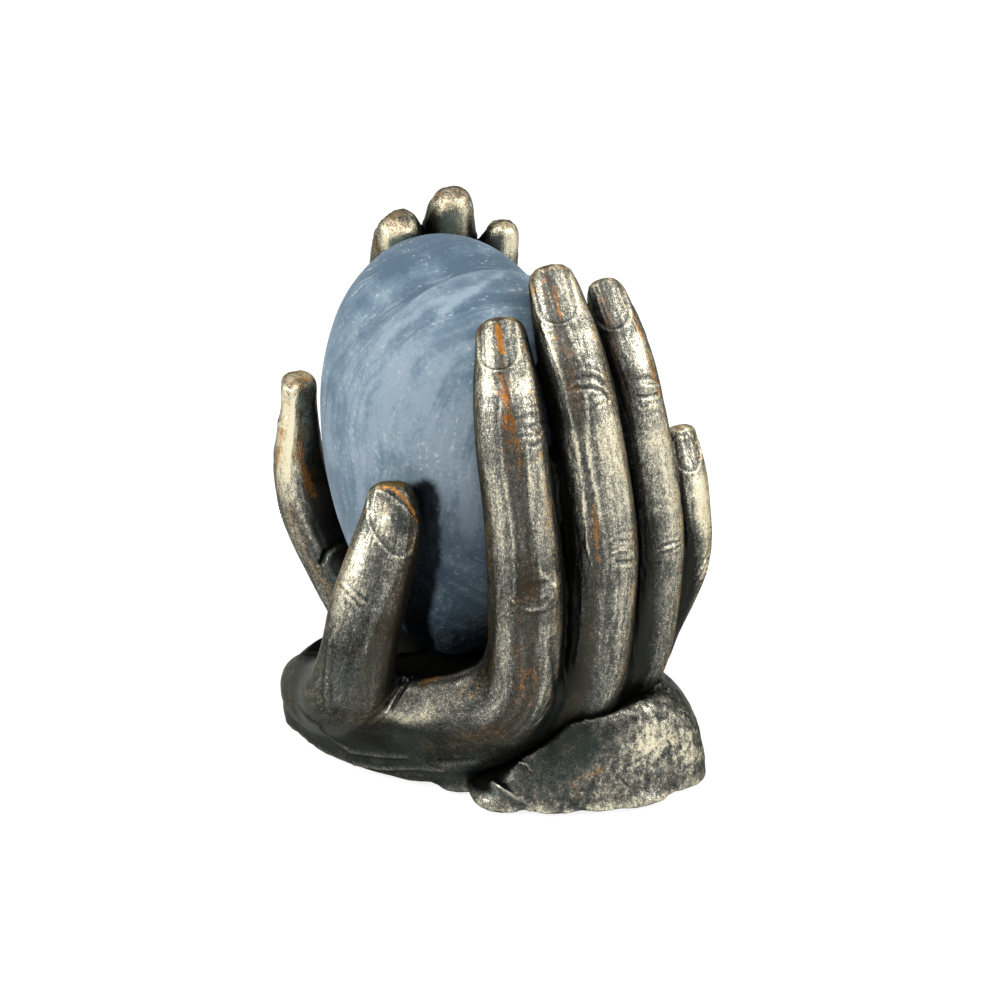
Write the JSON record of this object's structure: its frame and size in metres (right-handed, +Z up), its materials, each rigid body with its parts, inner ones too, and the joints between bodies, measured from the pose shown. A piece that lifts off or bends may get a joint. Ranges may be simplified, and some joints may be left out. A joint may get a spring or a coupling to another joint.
{
  "type": "hands holding heart sculpture",
  "caption": "Tabletop sculpture of cupped hands, crossed at the wrists on their cut stumps, that hold an upright puffy painted heart between curved fingers.",
  "frame": {"origin": "on the table, under the middle of the box round the whole piece", "axes": "+Z up; -Y towards the side that the thumbs close; +X towards the right hand, whose wrist stump lies on the -X side"},
  "size_m": [0.123, 0.107, 0.1496],
  "materials": {
    "bronze": "cold-cast resin with a dark bronze patina and pale gold dry-brushed highlights, semi-gloss",
    "heart_paint": "resin, brush-painted slate blue with white strokes, satin",
    "steel": "plain drawn steel",
    "felt": "black wool felt"
  },
  "bodies": {
    "root": {"right_hand": "bronze", "left_hand": "bronze", "heart": "heart_paint", "heart_pin": "steel", "tie_pins": "steel", "felt_pads_right": "felt", "felt_pads_left": "felt"}
  },
  "joints": []
}
